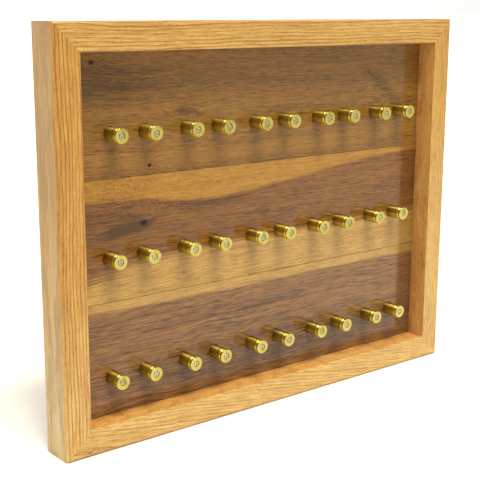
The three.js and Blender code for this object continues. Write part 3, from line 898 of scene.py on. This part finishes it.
def screw(node, chance):
    """A pan-head screw with a cross recess, turned by chance."""
    middle = middle_of(node)
    piece = lathe("pan_" + node, in_metres(SCREW_PROFILE), SCREW_SIDES, ZINC)
    boolean(piece, cross_recess(SCREW_HEAD))
    turn = Matrix.Rotation(chance.uniform(0, math.pi), 4, "Y")
    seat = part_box(node)[1].y - SCREW_HEAD
    piece.matrix_world = Matrix.Translation((middle.x, seat, middle.z)) @ turn
    finish_piece(smooth(piece, TURNED_ANGLE), "frame", "zinc_steel", node)


def drill(piece, x, z, radius):
    """Drills a hole along y through a piece."""
    front, back = -CUTTER_REACH, CUTTER_REACH
    cutter = lathe("cutter", [(0, front), (radius, front), (radius, back), (0, back)], HOLE_SIDES, ZINC)
    return boolean(piece, place(cutter, Matrix.Translation((x, 0, z))))


def turn_button(node):
    """A flat plate with round ends that turns on its screw, and points to the middle of the box at rest."""
    low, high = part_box(node)
    pivot = middle_of(node.replace("turn_button", "button_screw"))
    half = BUTTON_WIDTH / 2
    outline = arc((BUTTON_REACH - half, 0), half, -90, 90, ROUND_END_STEPS)
    outline += arc((half - BUTTON_TAIL, 0), half, 90, 270, ROUND_END_STEPS)
    piece = place(prism("plate_" + node, outline, 0, high.y - low.y, ZINC), TO_BACK)
    drill(piece, 0, 0, SCREW_HOLE)
    bevel(piece, BUTTON_BEVEL)
    inwards = Matrix.Rotation(0 if pivot.x < 0 else math.pi, 4, "Y")
    piece.matrix_world = Matrix.Translation((pivot.x, low.y, pivot.z)) @ inwards
    finish_piece(smooth(piece), node, "zinc_steel", node)


def strap(node):
    """A strip that lies on the back and curls over the bar of its D-ring."""
    low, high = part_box(node)
    bar_z = high.z - EYE_OUTER
    curl = arc((EYE_OUTER, 0), EYE_OUTER, 180, EYE_END, EYE_STEPS)
    inner = arc((EYE_OUTER, 0), EYE_RADIUS, EYE_END, 180, EYE_STEPS)
    outline = [(0, low.z - bar_z), *curl, *inner, (STRAP_THICKNESS, low.z - bar_z)]
    half = (high.x - low.x) / 2
    piece = place(prism("strip_" + node, outline, -half, half, ZINC), Z_TO_X)
    foot = arc((0, low.z - bar_z + half), half, 180, 360, ROUND_END_STEPS)
    above = 4 * MM
    keep = prism("cutter", [(half, above), (-half, above), *foot], -CUTTER_REACH, CUTTER_REACH, ZINC)
    place(keep, Y_TO_Z)
    face_outwards(keep.data)
    boolean(piece, keep, "INTERSECT")
    drill(piece, 0, -STRAP_DROP, SCREW_HOLE)
    bevel(piece, STRAP_BEVEL)
    piece.matrix_world = Matrix.Translation(((low.x + high.x) / 2, low.y, bar_z))
    finish_piece(smooth(piece), "frame", "zinc_steel", node)


def ring(node):
    """A D-ring of bent wire, closed by its straight bar."""
    corner, wide = RING_CORNER, RING_HALF_WIDTH
    path = arc((wide - corner, -corner), corner, 90, 0, CORNER_STEPS)
    path += arc((0, -RING_LEG), wide, 0, -180, LOOP_STEPS)
    path += arc((corner - wide, -corner), corner, 180, 90, CORNER_STEPS)
    sides = WIRE_SIDES
    vertices, faces = [], []
    for i, (x, z) in enumerate(path):
        before, after = Vector(path[i - 1]), Vector(path[(i + 1) % len(path)])
        along = (after - before).normalized()
        for k in range(sides):
            angle = 2 * math.pi * k / sides
            out = WIRE_RADIUS * math.cos(angle)
            vertices.append((x - along.y * out, WIRE_RADIUS * math.sin(angle), z + along.x * out))
    for i in range(len(path)):
        low_ring, high_ring = i * sides, (i + 1) % len(path) * sides
        for k in range(sides):
            next_k = (k + 1) % sides
            faces.append([low_ring + k, low_ring + next_k, high_ring + next_k, high_ring + k])
    piece = add_piece("wire_" + node, vertices, faces, ZINC)
    middle = middle_of(node)
    piece.location = (middle.x, middle.y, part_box(node)[1].z - WIRE_RADIUS)
    finish_piece(smooth(piece, WIRE_ANGLE), node, "zinc_steel", node)


def bumper(node):
    """A stick-on foot: a short cylinder under a low dome."""
    low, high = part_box(node)
    radius, height = (high.x - low.x) / 2 / MM, (high.y - low.y) / MM
    shoulder = BUMPER_SHOULDER * height
    profile = [(0, 0), (radius, 0), (radius, shoulder)]
    profile += [(radius * math.cos(a), shoulder + (height - shoulder) * math.sin(a)) for a in BUMPER_DOME]
    piece = lathe("dome_" + node, in_metres([*profile, (0, height)]), BUMPER_SIDES, RUBBER)
    piece.location = (middle_of(node).x, low.y, middle_of(node).z)
    finish_piece(smooth(piece, DOMED_ANGLE), "frame", "rubber", node)


# ---------------------------------------------------------------- stage

# Lamps as (name, degrees to the right of the box's middle, strength), all at one height and width
LAMPS = (("lamp_left", -22, 1.89), ("lamp_right", 10, 1.68))
LAMP_ELEVATION = 62
LAMP_WIDTH = 15
LAMP_WARM = (1.0, 0.95, 0.87)

SKY_WHITE = (1.0, 0.98, 0.95)
SKY_FRONT = 0.2
SKY_TOP = 1.05
SKY_BACK = 1.1
SKY_BACK_EDGE = 0.7

# Floor colours near the box and towards the camera, where the darker colour is painted shade, and where
# along y the one turns into the other
FLOOR_NEAR = (0.90, 0.86, 0.78)
FLOOR_FAR = (0.66, 0.62, 0.50)
FLOOR_SHADE_Y = (-0.15, -0.9)
FLOOR_FIBRES = (1.5, 1.5, 1.5)
FLOOR_RELIEF = 0.02 * MM
FLOOR_HALF = 60


def aim(thing, yaw, pitch, roll):
    """Points a camera or lamp, in degrees: left from +y, up from level and round its own axis."""
    turn = Matrix.Rotation(math.radians(yaw), 4, "Z") @ Matrix.Rotation(math.radians(90 + pitch), 4, "X")
    turn = turn @ Matrix.Rotation(math.radians(roll), 4, "Z")
    thing.matrix_world = Matrix.Translation(thing.location) @ turn


def add_camera():
    camera = bpy.data.objects.new("camera", bpy.data.cameras.new("camera"))
    camera.data.lens = LENS
    camera.data.sensor_width = SENSOR
    camera.location = CAMERA_PLACE
    bpy.context.scene.collection.objects.link(camera)
    aim(camera, CAMERA_YAW, CAMERA_PITCH, -CAMERA_ROLL)
    bpy.context.scene.camera = camera


def add_lamp(name, azimuth, strength):
    """A far, wide lamp above and in front of the box."""
    light = bpy.data.objects.new(name, bpy.data.lights.new(name, "SUN"))
    light.data.energy = strength
    light.data.angle = math.radians(LAMP_WIDTH)
    light.data.color = LAMP_WARM
    light.location = (0, -1, 2)
    bpy.context.scene.collection.objects.link(light)
    aim(light, azimuth, -LAMP_ELEVATION, 0)


def add_floor():
    """A pale floor with painted shade that darkens it a little towards the camera."""
    paper = Shader("pale_floor")
    x, y, z = paper.split(paper.node("NewGeometry").outputs["Position"])
    fibres = paper.noise(paper.millimetres(), FLOOR_FIBRES, 2.0, 3)
    paper.finish(
        Base_Color=paper.mix(paper.ramp(y, *FLOOR_SHADE_Y), FLOOR_NEAR, FLOOR_FAR), Roughness=0.8,
        Normal=paper.bump(fibres, FLOOR_RELIEF),
    )
    half = FLOOR_HALF
    corners = [(-half, -half, 0), (half, -half, 0), (half, half, 0), (-half, half, 0)]
    add_piece("floor", corners, [[0, 1, 2, 3]], paper.material)


def add_world():
    """A sky that is bright overhead and behind the box, and dimmer towards the camera."""
    world = bpy.data.worlds.new("studio")
    bpy.context.scene.world = world
    world.use_nodes = True
    tree = world.node_tree
    background = tree.nodes["Background"]
    background.inputs["Color"].default_value = (*SKY_WHITE, 1)
    direction = tree.nodes.new("ShaderNodeTexCoord").outputs["Generated"]
    parts = tree.nodes.new("ShaderNodeSeparateXYZ")
    tree.links.new(direction, parts.inputs[0])
    levels = []
    for axis, edge, dim, bright in (("Z", 1.0, SKY_FRONT, SKY_TOP), ("Y", SKY_BACK_EDGE, 0.0, SKY_BACK)):
        level = tree.nodes.new("ShaderNodeMapRange")
        tree.links.new(parts.outputs[axis], level.inputs["Value"])
        for key, value in {"From Min": 0.0, "From Max": edge, "To Min": dim, "To Max": bright}.items():
            level.inputs[key].default_value = value
        levels.append(level.outputs["Result"])
    brighter = tree.nodes.new("ShaderNodeMath")
    brighter.operation = "MAXIMUM"
    tree.links.new(levels[0], brighter.inputs[0])
    tree.links.new(levels[1], brighter.inputs[1])
    tree.links.new(brighter.outputs[0], background.inputs["Strength"])


def add_stage():
    add_floor()
    add_world()
    for lamp in LAMPS:
        add_lamp(*lamp)
    bpy.context.scene.view_settings.view_transform = "Standard"


# ---------------------------------------------------------------- build

for side in RAILS:
    rail(side)
for board_name in WALNUT:
    board(board_name)
chance = random.Random(CHANCE_SEED)
for row in ROW_BOARDS:
    for column in COLUMNS:
        peg(row, column, chance)
MAKERS = {"turn_button": turn_button, "hanger_strap": strap, "hanger_ring": ring, "bumper": bumper}
for node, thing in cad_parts.items():
    if node.startswith(("button_screw", "hanger_screw")):
        screw(node, chance)
    elif node.startswith("v_nail"):
        thing.material_slots[0].material = ZINC
    for start, maker in MAKERS.items():
        if node.startswith(start):
            maker(node)
add_camera()
add_stage()
